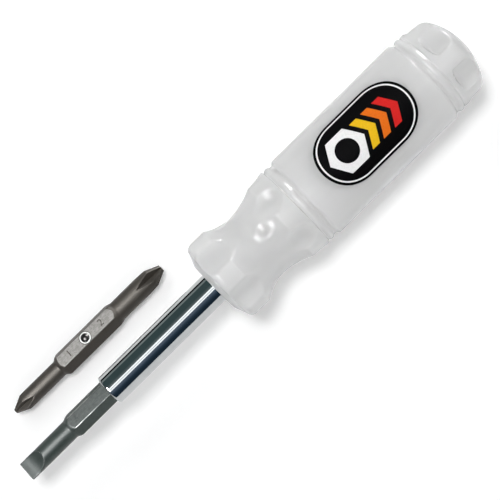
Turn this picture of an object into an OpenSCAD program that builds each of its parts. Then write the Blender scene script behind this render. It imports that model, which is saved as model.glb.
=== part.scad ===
// Pocket screwdriver: a fluted moulded handle, a reversible tube shaft and two double-ended bits.
// Sizes are in millimetres. The driver lies along X on the surface Z = 0, its butt towards +X.
// Along the axis, places are counted from the front of the handle's nose.

/* [Handle] */
// Diameter of the plain barrel
barrel_d = 26.2; // [25:0.1:30]
// Length of the plain barrel
barrel_len = 43.3; // [30:0.1:60]
// Diameter of the nose flange
flange_d = 26.2; // [24:0.1:30]
// Length of the nose flange behind its rounded corner
flange_len = 4.8; // [3:0.1:8]
// How far the nose face stands out at the shaft
nose_rise = 1.4; // [0.5:0.1:3]
// Width of the flat ring round the shaft on the nose face
nose_lip = 0.7; // [0.3:0.1:1.5]
// Radius of the nose's rounded corner
nose_round = 2.0; // [1:0.1:3]
// Smallest diameter of the waist
waist_d = 20.2; // [18:0.1:22]
// Length of the waist ahead of its smallest diameter
waist_front_len = 7.2; // [5:0.1:12]
// Length of the waist behind its smallest diameter
waist_rear_len = 9.2; // [6:0.1:14]
// Diameter of the collar behind the waist
collar_d = 25.8; // [24:0.1:30]
// Length of the collar
collar_len = 5.6; // [4:0.1:10]
// Diameter at the foot of the grooves beside the barrel
groove_d = 24.5; // [23:0.1:24.8]
// Length of the grooved band at each end of the barrel
band_len = 3.8; // [3:0.1:6]
// Radius of the round bead in each grooved band
bead_r = 1.0; // [0.6:0.05:1.3]
// How far the bead stands out of its groove
bead_rise = 0.55; // [0.3:0.05:0.6]
// Bevel at both ends of the barrel
barrel_bevel = 0.6; // [0.2:0.05:1]
// Diameter of the butt
butt_d = 25.1; // [24:0.1:28]
// Length of the butt ahead of its dome
butt_len = 4.3; // [3:0.1:10]
// Length of the dome on the butt
dome_len = 6.8; // [5.5:0.1:8]
// Corner radius of the dome
dome_round = 4.3; // [3:0.1:5]
// Turn of the handle about its own axis, in degrees
handle_roll = 21; // [-30:1:30]

/* [Flutes] */
// Number of flutes round the handle
flute_count = 6; // [4:1:7]
// Radius of the hollow of a flute in the nose and collar
nose_flute_r = 5.9; // [4:0.1:7]
// Distance from the axis to the bottom of a nose flute
nose_flute_floor = 11.0; // [10.6:0.1:11.6]
// Plain length left between the end of a nose flute and the back of the collar
nose_flute_land = 0.8; // [0.4:0.1:2]
// Radius of the hollow of a flute in the butt
butt_flute_r = 5.0; // [4:0.1:6]
// Distance from the axis to the bottom of a butt flute
butt_flute_floor = 9.9; // [9:0.1:11]
// Plain length left between the rear band and the butt flutes
butt_flute_land = 1.1; // [0.5:0.1:2]

/* [Shaft] */
// Outside diameter of the shaft tube
tube_d = 9.0; // [8.8:0.1:10]
// Bright length of the tube ahead of the nose
tube_reach = 39.2; // [30:0.1:50]
// Diameter of the plain hole through the tube
tube_hole_d = 6.2; // [6.1:0.05:6.3]
// Depth of the hex socket in each end of the tube
socket_depth = 19.2; // [15:0.1:22]
// Radius of the tube's rounded rims
rim_round = 0.7; // [0.3:0.05:0.75]
// Bevel at the mouth of a socket
socket_bevel = 0.3; // [0.2:0.05:0.4]
// Length of each drive ear pressed out of the tube
ear_len = 3.6; // [2.5:0.1:5]
// Width of a drive ear
ear_w = 2.0; // [1.5:0.1:2.5]
// How far a drive ear stands out of the tube
ear_rise = 1.3; // [0.8:0.1:1.6]
// Distance from the nose face to the first ears
ear_inset = 1.0; // [0.5:0.1:3]
// Distance between the front and rear ears
ear_gap = 2.4; // [2:0.1:4]
// Wire diameter of the retaining ring
ring_wire_d = 0.8; // [0.6:0.05:0.9]
// Angle that the split retaining ring covers
ring_arc = 325; // [300:1:340]

/* [Bits] */
// Size of the hex across its flats
hex_af = 6.35; // [6.3:0.01:6.4]
// Length of the cone between a bit's round end and its hex
shoulder_len = 1.5; // [0.8:0.1:2.5]
// Length of the hex on the slotted bit, with its shoulders
slotted_hex_len = 33.4; // [25:0.1:36]
// Length of each round end on the slotted bit
slotted_end_len = 16.3; // [12:0.1:18]
// Width of the large blade and diameter of its round end
large_blade_w = 5.6; // [5:0.1:6]
// Width of the small blade and diameter of its round end
small_blade_w = 4.8; // [4:0.1:5.5]
// Thickness of the large blade at its edge
large_blade_t = 1.0; // [0.8:0.05:1.4]
// Thickness of the small blade at its edge
small_blade_t = 0.8; // [0.6:0.05:1.2]
// Length of the hollow grind on a blade
grind_len = 6.5; // [5:0.1:9]
// Length of even thickness at a blade's edge
grind_land = 1.0; // [0.5:0.1:2]
// Length of the hex on the cross bit, with its shoulders
cross_hex_len = 22.0; // [18:0.1:28]
// Length of each round end on the cross bit
cross_end_len = 17.0; // [14:0.1:20]
// Diameter of the larger cross end
large_cross_d = 5.9; // [5.5:0.05:6]
// Diameter of the smaller cross end
small_cross_d = 4.9; // [4.5:0.05:5.2]
// Diameter of the blunt tip of the larger cross
large_tip_d = 2.0; // [1.6:0.1:2.4]
// Diameter of the blunt tip of the smaller cross
small_tip_d = 1.3; // [1:0.1:1.5]
// Distance from the axis to the bottom of a slot at the larger tip
large_slot_floor = 0.75; // [0.6:0.05:0.9]
// Distance from the axis to the bottom of a slot at the smaller tip
small_slot_floor = 0.5; // [0.4:0.05:0.6]
// Length of the slots that leave the cross
cross_slot_len = 8.0; // [6:0.1:10]
// Slope of a cross point from its axis, in degrees
cross_slope = 26.5; // [22:0.5:30]
// Turn of the larger cross from the flat with the ball, in degrees
large_cross_turn = 9; // [-45:1:45]
// Turn of the smaller cross from the flat with the ball, in degrees
small_cross_turn = -22; // [-45:1:45]
// Free gap between the loose bit and the handle, seen from above
loose_gap = 1.1; // [0.3:0.1:10]
// Distance from the nose face to the loose bit's near end
loose_inset = 7.1; // [2:0.1:10]

/* [Detents] */
// Diameter of a detent ball
ball_d = 3.175; // [3:0.005:3.2]
// How far a free ball stands out of its flat
ball_rise = 0.55; // [0.4:0.05:0.6]
// Depth of the hole for a ball and its spring
detent_depth = 4.9; // [4.6:0.05:5.2]
// Depth of the lip that keeps the ball in
detent_lip = 0.45; // [0.4:0.05:0.5]
// Width of the ring-shaped stake mark round the ball
stake_w = 0.25; // [0.15:0.05:0.35]
// Depth of the stake mark
stake_depth = 0.12; // [0.05:0.01:0.2]
// Wire diameter of a detent spring
spring_wire_d = 0.4; // [0.3:0.05:0.45]
// Diameter of a detent spring at the middle of its wire
spring_d = 2.2; // [1.8:0.05:2.3]
// Turns of a detent spring
spring_turns = 2; // [1.5:0.25:2]

/* [Fits] */
// Clearance round the tube in the handle's bore
tube_clear = 0.10; // [0.05:0.01:0.15]
// Clearance round a bit's hex in its socket, on each flat
hex_clear = 0.05; // [0.04:0.01:0.1]
// Clearance round the drive ears in their slots
ear_clear = 0.12; // [0.08:0.01:0.2]
// Clearance between the retaining ring and what it lies against
ring_clear = 0.05; // [0.03:0.01:0.06]
// Clearance between a seated bit and the end of its socket
seat_clear = 0.10; // [0.05:0.01:0.2]
// Clearance round the stored end of the second bit
store_clear = 0.35; // [0.2:0.05:0.6]
// Clearance round a detent ball
ball_clear = 0.04; // [0.03:0.005:0.06]
// Clearance at each end of a detent spring
spring_clear = 0.05; // [0.03:0.01:0.1]

/* [Hidden] */
$fn = 96;

// Cutters reach this far past what they cut
over = 1;

// Places along the handle, from the front of its nose
flange_x = nose_rise + nose_round;
waist_x = flange_x + flange_len;
waist_mid_x = waist_x + waist_front_len;
collar_x = waist_mid_x + waist_rear_len;
front_band_x = collar_x + collar_len;
barrel_x = front_band_x + band_len;
rear_band_x = barrel_x + barrel_len;
butt_x = rear_band_x + band_len;
dome_x = butt_x + butt_len;
handle_len = dome_x + dome_len;

// Arcs of the waist, each from its smallest diameter up to the flange or the collar
function arc_radius(run, rise) = (run * run + rise * rise) / (2 * rise);
waist_front_r = arc_radius(waist_front_len, (flange_d - waist_d) / 2);
waist_rear_r = arc_radius(waist_rear_len, (collar_d - waist_d) / 2);

// The dome is a corner arc that runs into a crown arc centred on the axis
dome_centre_r = butt_d / 2 - dome_round;
crown_r = (dome_centre_r * dome_centre_r + dome_len * dome_len - dome_round * dome_round)
          / (2 * (dome_len - dome_round));
crown_x = handle_len - crown_r;
crown_join_x = crown_x + crown_r * (dome_x - crown_x) / (crown_r - dome_round);

// A nose flute ends in a ball, which leaves the collar's surface this far behind the ball's centre
nose_flute_axis = nose_flute_floor + nose_flute_r;
nose_flute_rise = nose_flute_axis - collar_d / 2;
nose_flute_run = sqrt(nose_flute_r * nose_flute_r - nose_flute_rise * nose_flute_rise);
nose_flute_x = front_band_x - nose_flute_land - nose_flute_run;
butt_flute_axis = butt_flute_floor + butt_flute_r;
flute_step = 360 / flute_count;

// Shaft: the tube is the same at both ends about the ring at its middle
socket_af = hex_af + 2 * hex_clear;
tube_mid_x = ear_inset + ear_len + ear_gap / 2;
tube_front_x = -tube_reach;
tube_len = 2 * (tube_mid_x - tube_front_x);
tube_rear_x = tube_front_x + tube_len;
bore_d = tube_d + 2 * tube_clear;
ear_d = tube_d + 2 * ear_rise;
ear_slot_end_x = 2 * tube_mid_x - ear_inset + ear_clear;
ring_d = bore_d - 2 * ring_clear - ring_wire_d;
ring_groove_d = ring_d - ring_wire_d - 2 * ring_clear;

// Bits: the slotted bit seats by its inner shoulder at the end of the front socket
hex_corner_d = hex_af * 2 / sqrt(3);
slotted_len = slotted_hex_len + 2 * slotted_end_len;
slotted_seat_x = tube_front_x + socket_depth - seat_clear;
slotted_tip_x = slotted_seat_x - slotted_hex_len - slotted_end_len;
slotted_mid_x = slotted_tip_x + slotted_len / 2;
cross_len = cross_hex_len + 2 * cross_end_len;
cross_mid_x = -loose_inset - cross_len / 2;
cross_y = barrel_d / 2 + loose_gap + hex_corner_d / 2;

// Room in the handle for a bit that is stored in the rear socket
store_d = hex_corner_d + 2 * store_clear;
store_end_x = tube_rear_x + (tube_front_x - slotted_tip_x) + store_clear;
bore_end_x = tube_rear_x + store_clear;

// Detents: the free ball stands out to its lip, and the one in the socket is held down by the flat
detent_hole_d = ball_d + 2 * ball_clear;
held_rise = hex_clear - ball_clear / 2;
lip_reach = ball_d / 2 - ball_rise;
detent_mouth_d = 2 * sqrt(ball_d * ball_d / 4 - lip_reach * lip_reach) + 3 * ball_clear;
free_spring_h = detent_depth - ball_d + ball_rise - 2 * spring_clear;
held_spring_h = detent_depth - ball_d + held_rise - 2 * spring_clear;
spring_sides = 6;
spring_steps = 16;

// The frame: origin below the middle of everything, on the surface that it lies on
axis_z = max(barrel_d, flange_d, collar_d, butt_d) / 2;
origin_x = (slotted_tip_x + handle_len) / 2;
origin_y = (cross_y + hex_corner_d / 2 - axis_z) / 2;
loose_z = hex_af / 2;

// Profiles are drawn as [distance from the axis, place along it] and turned about X
module turned() {
    rotate([0, 90, 0])
        rotate_extrude()
            children();
}

module bar(d, x0, x1) {
    translate([x0, 0, 0])
        rotate([0, 90, 0])
            cylinder(d = d, h = x1 - x0);
}

module hex_bar(af, x0, x1) {
    translate([x0, 0, 0])
        rotate([0, 90, 0])
            rotate([0, 0, 30])
                cylinder(d = af * 2 / sqrt(3), h = x1 - x0, $fn = 6);
}

// A stretch of profile from the axis out to r
module band(r, x0, x1) {
    translate([0, x0])
        square([r, x1 - x0]);
}

// The part of a disc that lies in a stretch of profile, outside the radius of its centre
module disc_part(centre, r, x0, x1) {
    intersection() {
        translate(centre)
            circle(r);
        translate([centre[0], x0])
            square([r + over, x1 - x0]);
    }
}

// The places of the driver and of the loose bit in the frame
module on_driver() {
    translate([-origin_x, -origin_y, axis_z])
        children();
}

module on_loose_bit() {
    translate([cross_mid_x - origin_x, cross_y - origin_y, loose_z])
        children();
}

// Handle
module nose_profile() {
    corner_r = flange_d / 2 - nose_round;
    polygon([[0, 0], [bore_d / 2 + nose_lip, 0], [corner_r, nose_rise], [corner_r, flange_x],
             [0, flange_x]]);
    disc_part([corner_r, flange_x], nose_round, nose_rise - over, flange_x);
    band(flange_d / 2, flange_x, waist_x);
}

module waist_arc(r, x0, x1) {
    difference() {
        band(waist_d / 2 + r, x0, x1);
        translate([waist_d / 2 + r, waist_mid_x])
            circle(r, $fn = 4 * $fn);
    }
}

module bead_profile(x) {
    translate([groove_d / 2 + bead_rise - bead_r, x])
        circle(bead_r);
}

module barrel_profile() {
    edge_r = barrel_d / 2 - barrel_bevel;
    band(collar_d / 2, collar_x, front_band_x);
    band(groove_d / 2, front_band_x, barrel_x);
    bead_profile(front_band_x + band_len / 3);
    polygon([[0, barrel_x - barrel_bevel], [groove_d / 2, barrel_x - barrel_bevel],
             [edge_r, barrel_x - barrel_bevel], [barrel_d / 2, barrel_x],
             [barrel_d / 2, rear_band_x], [edge_r, rear_band_x + barrel_bevel],
             [0, rear_band_x + barrel_bevel]]);
    band(groove_d / 2, rear_band_x, butt_x);
    bead_profile(butt_x - band_len / 3);
    band(butt_d / 2, butt_x, dome_x);
}

module dome_profile() {
    band(dome_centre_r, dome_x, crown_join_x);
    disc_part([dome_centre_r, dome_x], dome_round, dome_x, crown_join_x);
    disc_part([0, crown_x], crown_r, crown_join_x, handle_len + over);
}

module nose_flute() {
    translate([0, 0, nose_flute_axis])
        turned() {
            translate([0, -over])
                square([nose_flute_r, nose_flute_x + over]);
            disc_part([0, nose_flute_x], nose_flute_r, nose_flute_x, nose_flute_x + 2 * nose_flute_r);
        }
}

module butt_flute() {
    translate([0, 0, butt_flute_axis])
        bar(2 * butt_flute_r, butt_x + butt_flute_land, handle_len + over);
}

module handle_body() {
    difference() {
        turned() {
            nose_profile();
            waist_arc(waist_front_r, waist_x, waist_mid_x);
            waist_arc(waist_rear_r, waist_mid_x, collar_x);
            barrel_profile();
            dome_profile();
        }
        for (i = [0 : flute_count - 1])
            rotate([(i + 0.5) * flute_step, 0, 0]) {
                nose_flute();
                butt_flute();
            }
    }
}

module handle_bores() {
    slot_h = ear_d + 2 * ear_clear;
    slot_w = ear_w + 2 * ear_clear;
    bar(bore_d, -over, bore_end_x);
    bar(store_d, bore_end_x - over, store_end_x);
    translate([-over, -slot_h / 2, -slot_w / 2])
        cube([ear_slot_end_x + over, slot_h, slot_w]);
}

module handle() {
    color("#d2d3d3")
        on_driver()
            difference() {
                rotate([handle_roll, 0, 0])
                    handle_body();
                handle_bores();
            }
}

// Shaft
module tube_profile() {
    rim_r = tube_d / 2 - rim_round;
    band(rim_r, tube_front_x, tube_rear_x);
    band(tube_d / 2, tube_front_x + rim_round, tube_rear_x - rim_round);
    disc_part([rim_r, tube_front_x + rim_round], rim_round, tube_front_x - over, tube_front_x + rim_round);
    disc_part([rim_r, tube_rear_x - rim_round], rim_round, tube_rear_x - rim_round, tube_rear_x + over);
}

module ear_pair(x0) {
    translate([x0, -ear_d / 2, -ear_w / 2])
        cube([ear_len, ear_d, ear_w]);
}

// A round lead-in, which bevels the flats of a socket and leaves its corners
module socket_mouth() {
    mouth_r = socket_af / 2 + socket_bevel;
    turned()
        polygon([[0, tube_front_x - over], [mouth_r + over, tube_front_x - over],
                 [mouth_r - 2 * socket_bevel, tube_front_x + 2 * socket_bevel],
                 [0, tube_front_x + 2 * socket_bevel]]);
}

// One end of the tube's inside, and the same at the other end
module both_sockets() {
    for (turn = [0, 180])
        translate([tube_mid_x, 0, 0])
            rotate([0, 0, turn])
                translate([-tube_mid_x, 0, 0]) {
                    hex_bar(socket_af, tube_front_x - over, tube_front_x + socket_depth);
                    socket_mouth();
                }
}

module shaft_tube() {
    color("#c4c9cc")
        on_driver()
            difference() {
                union() {
                    turned()
                        tube_profile();
                    ear_pair(ear_inset);
                    ear_pair(tube_mid_x + ear_gap / 2);
                }
                bar(tube_hole_d, tube_front_x - over, tube_rear_x + over);
                both_sockets();
                difference() {
                    bar(ear_d + over, tube_mid_x - ring_wire_d / 2 - ring_clear,
                        tube_mid_x + ring_wire_d / 2 + ring_clear);
                    bar(ring_groove_d, tube_mid_x - ring_wire_d, tube_mid_x + ring_wire_d);
                }
            }
}

module retaining_ring() {
    color("#8f9498")
        on_driver()
            translate([tube_mid_x, 0, 0])
                rotate([0, 90, 0])
                    rotate([0, 0, (360 - ring_arc) / 2])
                        rotate_extrude(angle = ring_arc)
                            translate([ring_d / 2, 0])
                                circle(d = ring_wire_d, $fn = 24);
}

// Bits: each is drawn along X about the middle of its hex, with the ball's flat on top
module hex_core(len, d0, d1) {
    intersection() {
        hex_bar(hex_af, -len / 2, len / 2);
        turned()
            polygon([[0, -len / 2], [d0 / 2, -len / 2], [hex_corner_d / 2 + over, shoulder_end(len, d0)],
                     [hex_corner_d / 2 + over, -shoulder_end(len, d1)], [d1 / 2, len / 2], [0, len / 2]]);
    }
}

// Where a shoulder's cone would reach past the corners of the hex
function shoulder_end(len, d) =
    -len / 2 + shoulder_len * (hex_corner_d / 2 + over - d / 2) / (hex_corner_d / 2 - d / 2);

// A hollow-ground blade end, with its edge at X = 0
module blade_end(w, t, len) {
    grind_r = arc_radius(grind_len - grind_land, (w - t) / 2);
    difference() {
        bar(w, 0, len);
        for (side = [-1, 1])
            translate([grind_land, 0, side * (t / 2 + grind_r)])
                rotate([90, 0, 0])
                    cylinder(r = grind_r, h = w + 2 * over, center = true);
        for (side = [-1, 1])
            translate([-over, -w / 2 - over, side * (t / 2 + w / 2) - w / 2])
                cube([grind_land + over, w + 2 * over, w]);
    }
}

// A cross end, with its blunt tip at X = 0: a wheel with a sharp rim cuts a slot every quarter turn
module cross_end(d, tip_d, slot_floor, len) {
    cone_len = (d - tip_d) / 2 / tan(cross_slope);
    wheel_r = arc_radius(cross_slot_len, d / 2 - slot_floor);
    wheel_w = d / 2 + over;
    difference() {
        turned()
            polygon([[0, 0], [tip_d / 2, 0], [d / 2, cone_len], [d / 2, len], [0, len]]);
        for (i = [0 : 3])
            rotate([(i + 0.5) * 90, 0, 0])
                translate([0, 0, slot_floor + wheel_r])
                    rotate([90, 0, 0])
                        rotate_extrude()
                            polygon([[0, -wheel_w], [wheel_r - wheel_w, -wheel_w], [wheel_r, 0],
                                     [wheel_r - wheel_w, wheel_w], [0, wheel_w]]);
    }
}

module detent_hole() {
    flat_z = hex_af / 2;
    translate([0, 0, flat_z - detent_depth])
        cylinder(d = detent_hole_d, h = detent_depth - detent_lip);
    translate([0, 0, flat_z - detent_lip])
        cylinder(d1 = detent_hole_d, d2 = detent_mouth_d, h = detent_lip);
    translate([0, 0, flat_z - detent_lip / 2])
        cylinder(d = detent_mouth_d, h = detent_lip / 2 + over);
    translate([0, 0, flat_z - stake_depth])
        difference() {
            cylinder(d = detent_hole_d + 2 * stake_w, h = stake_depth + over);
            cylinder(d = detent_hole_d, h = stake_depth + over);
        }
}

module slotted_bit() {
    reach = slotted_len / 2;
    joined = slotted_end_len + over;
    color("#5f6865")
        on_driver()
            translate([slotted_mid_x, 0, 0])
                difference() {
                    union() {
                        hex_core(slotted_hex_len, large_blade_w, small_blade_w);
                        translate([-reach, 0, 0])
                            blade_end(large_blade_w, large_blade_t, joined);
                        translate([reach, 0, 0])
                            rotate([0, 0, 180])
                                blade_end(small_blade_w, small_blade_t, joined);
                    }
                    detent_hole();
                }
}

module phillips_bit() {
    reach = cross_len / 2;
    joined = cross_end_len + over;
    color("#6d6660")
        on_loose_bit()
            difference() {
                union() {
                    hex_core(cross_hex_len, small_cross_d, large_cross_d);
                    translate([-reach, 0, 0])
                        rotate([small_cross_turn, 0, 0])
                            cross_end(small_cross_d, small_tip_d, small_slot_floor, joined);
                    translate([reach, 0, 0])
                        rotate([large_cross_turn, 0, 180])
                            cross_end(large_cross_d, large_tip_d, large_slot_floor, joined);
                }
                detent_hole();
            }
}

module detent_ball(rise) {
    color("#45433f")
        translate([0, 0, hex_af / 2 + rise - ball_d / 2])
            sphere(d = ball_d);
}

module slotted_bit_ball() {
    on_driver()
        translate([slotted_mid_x, 0, 0])
            detent_ball(held_rise);
}

module phillips_bit_ball() {
    on_loose_bit()
        detent_ball(ball_rise);
}

// A coil wound from a tube of few sides, whose middle line climbs from one end to the other
function coil_point(a, b, z) = [(spring_d / 2 + spring_wire_d / 2 * cos(b)) * cos(a),
                                (spring_d / 2 + spring_wire_d / 2 * cos(b)) * sin(a),
                                z + spring_wire_d / 2 * sin(b)];

module coil(height) {
    last = spring_turns * spring_steps;
    n = spring_sides;
    climb = (height - spring_wire_d) / last;
    points = [for (i = [0 : last], j = [0 : n - 1])
              coil_point(i * 360 / spring_steps, j * 360 / n, spring_wire_d / 2 + i * climb)];
    skin = [for (i = [0 : last - 1], j = [0 : n - 1], half = [0, 1])
            let (a = i * n + j, b = i * n + (j + 1) % n)
            half == 0 ? [a, a + n, b] : [b, a + n, b + n]];
    caps = [for (j = [1 : n - 2], end = [0, 1])
            end == 0 ? [0, j, j + 1] : [last * n, last * n + j + 1, last * n + j]];
    polyhedron(points, concat(skin, caps));
}

module detent_spring(height) {
    color("#9a9c9c")
        translate([0, 0, hex_af / 2 - detent_depth + spring_clear])
            coil(height);
}

module slotted_bit_spring() {
    on_driver()
        translate([slotted_mid_x, 0, 0])
            detent_spring(held_spring_h);
}

module phillips_bit_spring() {
    on_loose_bit()
        detent_spring(free_spring_h);
}

handle();
shaft_tube();
retaining_ring();
slotted_bit();
slotted_bit_ball();
slotted_bit_spring();
phillips_bit();
phillips_bit_ball();
phillips_bit_spring();
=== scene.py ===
"""Looks of the pocket screwdriver: its moulded handle and printed panel, plated tube and steel bits.

Lengths on the part are written in millimetres and become metres where a mesh is made. The camera, the
lights and the floor are in metres. Round an axis, angles are counted from straight up towards the front
(-Y). Places on the handle are counted from its nose face, and places on a bit from its -X end.
"""
import math

import bmesh
import bpy
import numpy as np
from mathutils import Matrix, Vector


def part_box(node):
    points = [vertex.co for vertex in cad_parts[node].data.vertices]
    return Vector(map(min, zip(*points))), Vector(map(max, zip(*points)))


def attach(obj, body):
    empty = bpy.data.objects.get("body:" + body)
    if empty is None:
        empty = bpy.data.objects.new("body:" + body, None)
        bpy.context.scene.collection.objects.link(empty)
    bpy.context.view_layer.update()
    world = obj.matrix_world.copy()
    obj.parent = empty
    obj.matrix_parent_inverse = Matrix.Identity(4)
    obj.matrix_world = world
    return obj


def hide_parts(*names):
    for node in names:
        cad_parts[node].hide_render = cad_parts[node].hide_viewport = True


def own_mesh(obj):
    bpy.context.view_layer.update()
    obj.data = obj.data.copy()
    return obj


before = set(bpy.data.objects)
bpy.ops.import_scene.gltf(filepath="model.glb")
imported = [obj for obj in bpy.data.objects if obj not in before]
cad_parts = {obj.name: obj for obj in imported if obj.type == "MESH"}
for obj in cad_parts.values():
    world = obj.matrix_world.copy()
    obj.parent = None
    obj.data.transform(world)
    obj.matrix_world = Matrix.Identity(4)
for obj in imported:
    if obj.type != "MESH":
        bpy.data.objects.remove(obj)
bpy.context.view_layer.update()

MM = 0.001
TINY = 1e-6
WELD = 0.002  # points nearer to each other than this become one
SHARP_ANGLE = math.radians(40)


class Axis:
    """The line along X through the middle of a CAD node, with the node's -X end, middle and top."""

    def __init__(self, node):
        low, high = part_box(node)
        self.start = low.x
        self.middle = (low.x + high.x) / 2
        self.y = (low.y + high.y) / 2
        self.z = (low.z + high.z) / 2
        self.top = high.z


DRIVER = Axis("handle")
SLOTTED = Axis("slotted_bit")
CROSS = Axis("phillips_bit")

# Camera: how it looks down at the driver, and how the picture lies round its view
IMAGE_PIXELS = 500
PIXEL = 0.265 * MM
CAMERA_DISTANCE = 0.45
CAMERA_NEAR = 0.01
CAMERA_ELEVATION = 72.0
PICTURE_TURN = math.radians(44.6)
TARGET_ALONG = 13.6 * MM
TARGET_ASIDE = 0.4 * MM
FACING = 90 - CAMERA_ELEVATION

# Handle, as turned about its axis
BORE_R = 4.6
STORE_R = 4.02
STORE_HUB_R = 0.4  # innermost ring on the end of the bit store
BORE_END = 51.15
STORE_END = 81.75
BORE_MOUTH = ((0.5, 0.0), (0.2, 0.08), (0.0, 0.3))  # places, and what is added to the bore there
NOSE_LIP = 0.7
NOSE_FLAT_R = 7.6
NOSE_RISE = 1.4
NOSE_ROUND = 2.0
FLANGE_R = 13.1
FLANGE_LEN = 4.8
WAIST_R = 10.1
WAIST_FRONT = 7.2
WAIST_REAR = 9.2
COLLAR_R = 12.9
COLLAR_LEN = 5.6
GROOVE_R = 12.25
BAND_LEN = 3.8
BEAD_R = 1.0
BEAD_RISE = 0.55
PRINT_DEEP = 0.06  # how far the ink goes in, by which the barrel is smaller
BARREL_R = 13.1 - PRINT_DEEP
BARREL_LEN = 43.3
BARREL_BEVEL = 0.6
BUTT_R = 12.55
BUTT_LEN = 4.3
DOME_LEN = 6.8
DOME_ROUND = 4.3
DOME_STOP = 0.5  # degrees from the axis to the dome's last ring

FLANGE_S = NOSE_RISE + NOSE_ROUND
WAIST_S = FLANGE_S + FLANGE_LEN
WAIST_MID_S = WAIST_S + WAIST_FRONT
COLLAR_S = WAIST_MID_S + WAIST_REAR
FRONT_BAND_S = COLLAR_S + COLLAR_LEN
BARREL_S = FRONT_BAND_S + BAND_LEN
REAR_BAND_S = BARREL_S + BARREL_LEN
BUTT_S = REAR_BAND_S + BAND_LEN
DOME_S = BUTT_S + BUTT_LEN
HANDLE_LEN = DOME_S + DOME_LEN

# Flutes, ear slots and moulded mark
FLUTE_COUNT = 6
HANDLE_ROLL = 21.0
NOSE_FLUTE_R = 5.9
NOSE_FLUTE_AXIS = 16.9
NOSE_FLUTE_END = 25.06
BUTT_FLUTE_R = 5.0
BUTT_FLUTE_AXIS = 14.9
BUTT_FLUTE_START = 82.2
BUTT_FLUTE_RUN = 1.6
FLUTE_SOFT = 0.6
NO_FLUTE_R = 2 * BARREL_R  # stands for an angle that a flute doesn't reach
EAR_SLOT_HALF = 1.12
EAR_SLOT_REACH = 5.92
EAR_SLOT_END = 10.7
EAR_SLOT_SIDE = 0.9  # sine of the angle from which a slot may be met
MARK_S = 19.6
MARK_TURN = FACING - 7.5
MARK_R = 2.05
MARK_WIDTH = 0.8
MARK_DIP_R = 1.5
MARK_RISE = 0.18
MARK_DIP = 0.3

# Skin of the handle: corner rounding, and spacing of its rings and steps
CORNER_SOFT = 0.24
FINE_STEP = 0.06
FLUTED_STEP = 0.3
PLAIN_STEP = 1.6
RING_TURN = math.radians(4.0)
SKIN_STEPS = 288

# Bits: the hex and its shoulders, the blades, the cross points and the rounding of their edges
HEX_AF = 6.35
HEX_CORNER_R = HEX_AF / math.sqrt(3)
SHOULDER_LEN = 1.5
BLADE_HEX = (16.3, 49.7)
BLADE_WIDTHS = (5.6, 4.8)
BLADE_THICKS = (1.0, 0.8)
GRIND_LEN = 6.5
GRIND_LAND = 1.0
CROSS_HEX = (17.0, 39.0)
CROSS_WIDTHS = (4.9, 5.9)
CROSS_TIPS = (1.3, 2.0)
CROSS_FLOORS = (0.5, 0.75)
CROSS_TURNS = (math.radians(33), math.radians(11))
CROSS_SLOT_LENS = (6.8, 9.0)
CROSS_SLOPE = math.radians(26.5)
UNCUT_R = 2 * HEX_AF  # stands for an angle that the wheel doesn't reach
EDGE_SOFT = 0.3
GRIND_SOFT = 0.17
SHOULDER_SOFT = 0.16
CROSS_SOFT = 0.1
TIP_ROUND = 0.08
HARD = 1e-4  # share of the rounding that unworn edges have
WEAR_DEPTH = 0.065  # rounding at which an edge is fully worn

# Skin of the bits: places of the rings at a tip, on a worked end, on a shank and over a shoulder
BIT_STEPS = 360
TIP_PLACES = (0, 0.03, 0.08)
WORKED_START = 0.2
WORKED_STEP = 0.16
WORKED_OVER = 1.0  # how far close rings and the curve of a grind run on
SHANK_STEP = 1.2
SHOULDER_BEFORE = 0.5
SHOULDER_AFTER = 2.5
SHOULDER_STEP = 0.1
HEX_INSET = 5.0

# Detent hole in a bit, its stake mark, and the size number cut beside it
DETENT_R = 1.6275
DETENT_MOUTH_R = 1.262
DETENT_DEPTH = 4.9
DETENT_LIP = 0.45
STAKE_R = 1.8775
STAKE_DEPTH = 0.12
CUT_OVER = 1.0  # a cutter ends this far above the flat
OFF_FLAT = 0.02  # a cutter bends this far above the flat
HOLE_STEPS = 72
NUMBER_SIZE = 2.9
NUMBER_DEPTH = 0.12
CROSS_NUMBERS = (("1", -6.1), ("2", 5.9))
SLOTTED_NUMBERS = (("6", -13.0),)

# Detent springs
SPRING_R = 1.1
SPRING_WIRE_R = 0.2
SPRING_TURNS = 2
SPRING_STEPS = 97
WIRE_SIDES = 16

# Printed panel on the barrel; a chevron has a name, a place and an ink
PRINT_S = 56.0
PRINT_TURN = math.radians(FACING - 4.5)
PRINT_LEN = 31.0
PRINT_WIDTH = 19.0
PRINT_EDGE = 0.75
PRINT_KEYLINE = 0.45
PRINT_STEP = 0.45
PRINT_RISE = 0.011
PRINT_END_POINTS = 40
NUT_AT = -6.6
NUT_R = 6.1
NUT_SIDES = 6
NUT_HOLE_R = 3.3
NUT_HOLE_SIDES = 36
CHEVRON_WIDTH = 2.5
CHEVRON_HEIGHT = 9.0
CHEVRON_POINT = 2.6
BLACK_INK = (0.0025, 0.0025, 0.003)
WHITE_INK = (0.92, 0.92, 0.92)
INK_FADE = 0.92
INK_HAZE = 0.001
CHEVRONS = (
    ("first", 2.2, "yellow_ink", (0.87, 0.53, 0.015)),
    ("second", 6.2, "orange_ink", (0.83, 0.17, 0.012)),
    ("third", 10.2, "red_ink", (0.7, 0.022, 0.02)),
)

# Darker and lighter shade of each plain material
MILKY_SHADES = (0.685, 0.685, 0.682), (0.725, 0.725, 0.725)
PLATED_SHADES = (0.44, 0.455, 0.46), (0.49, 0.505, 0.51)
WIRE_SHADES = (0.42, 0.43, 0.45), (0.6, 0.61, 0.63)
BALL_SHADES = (0.035, 0.034, 0.033), (0.055, 0.053, 0.051)

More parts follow.
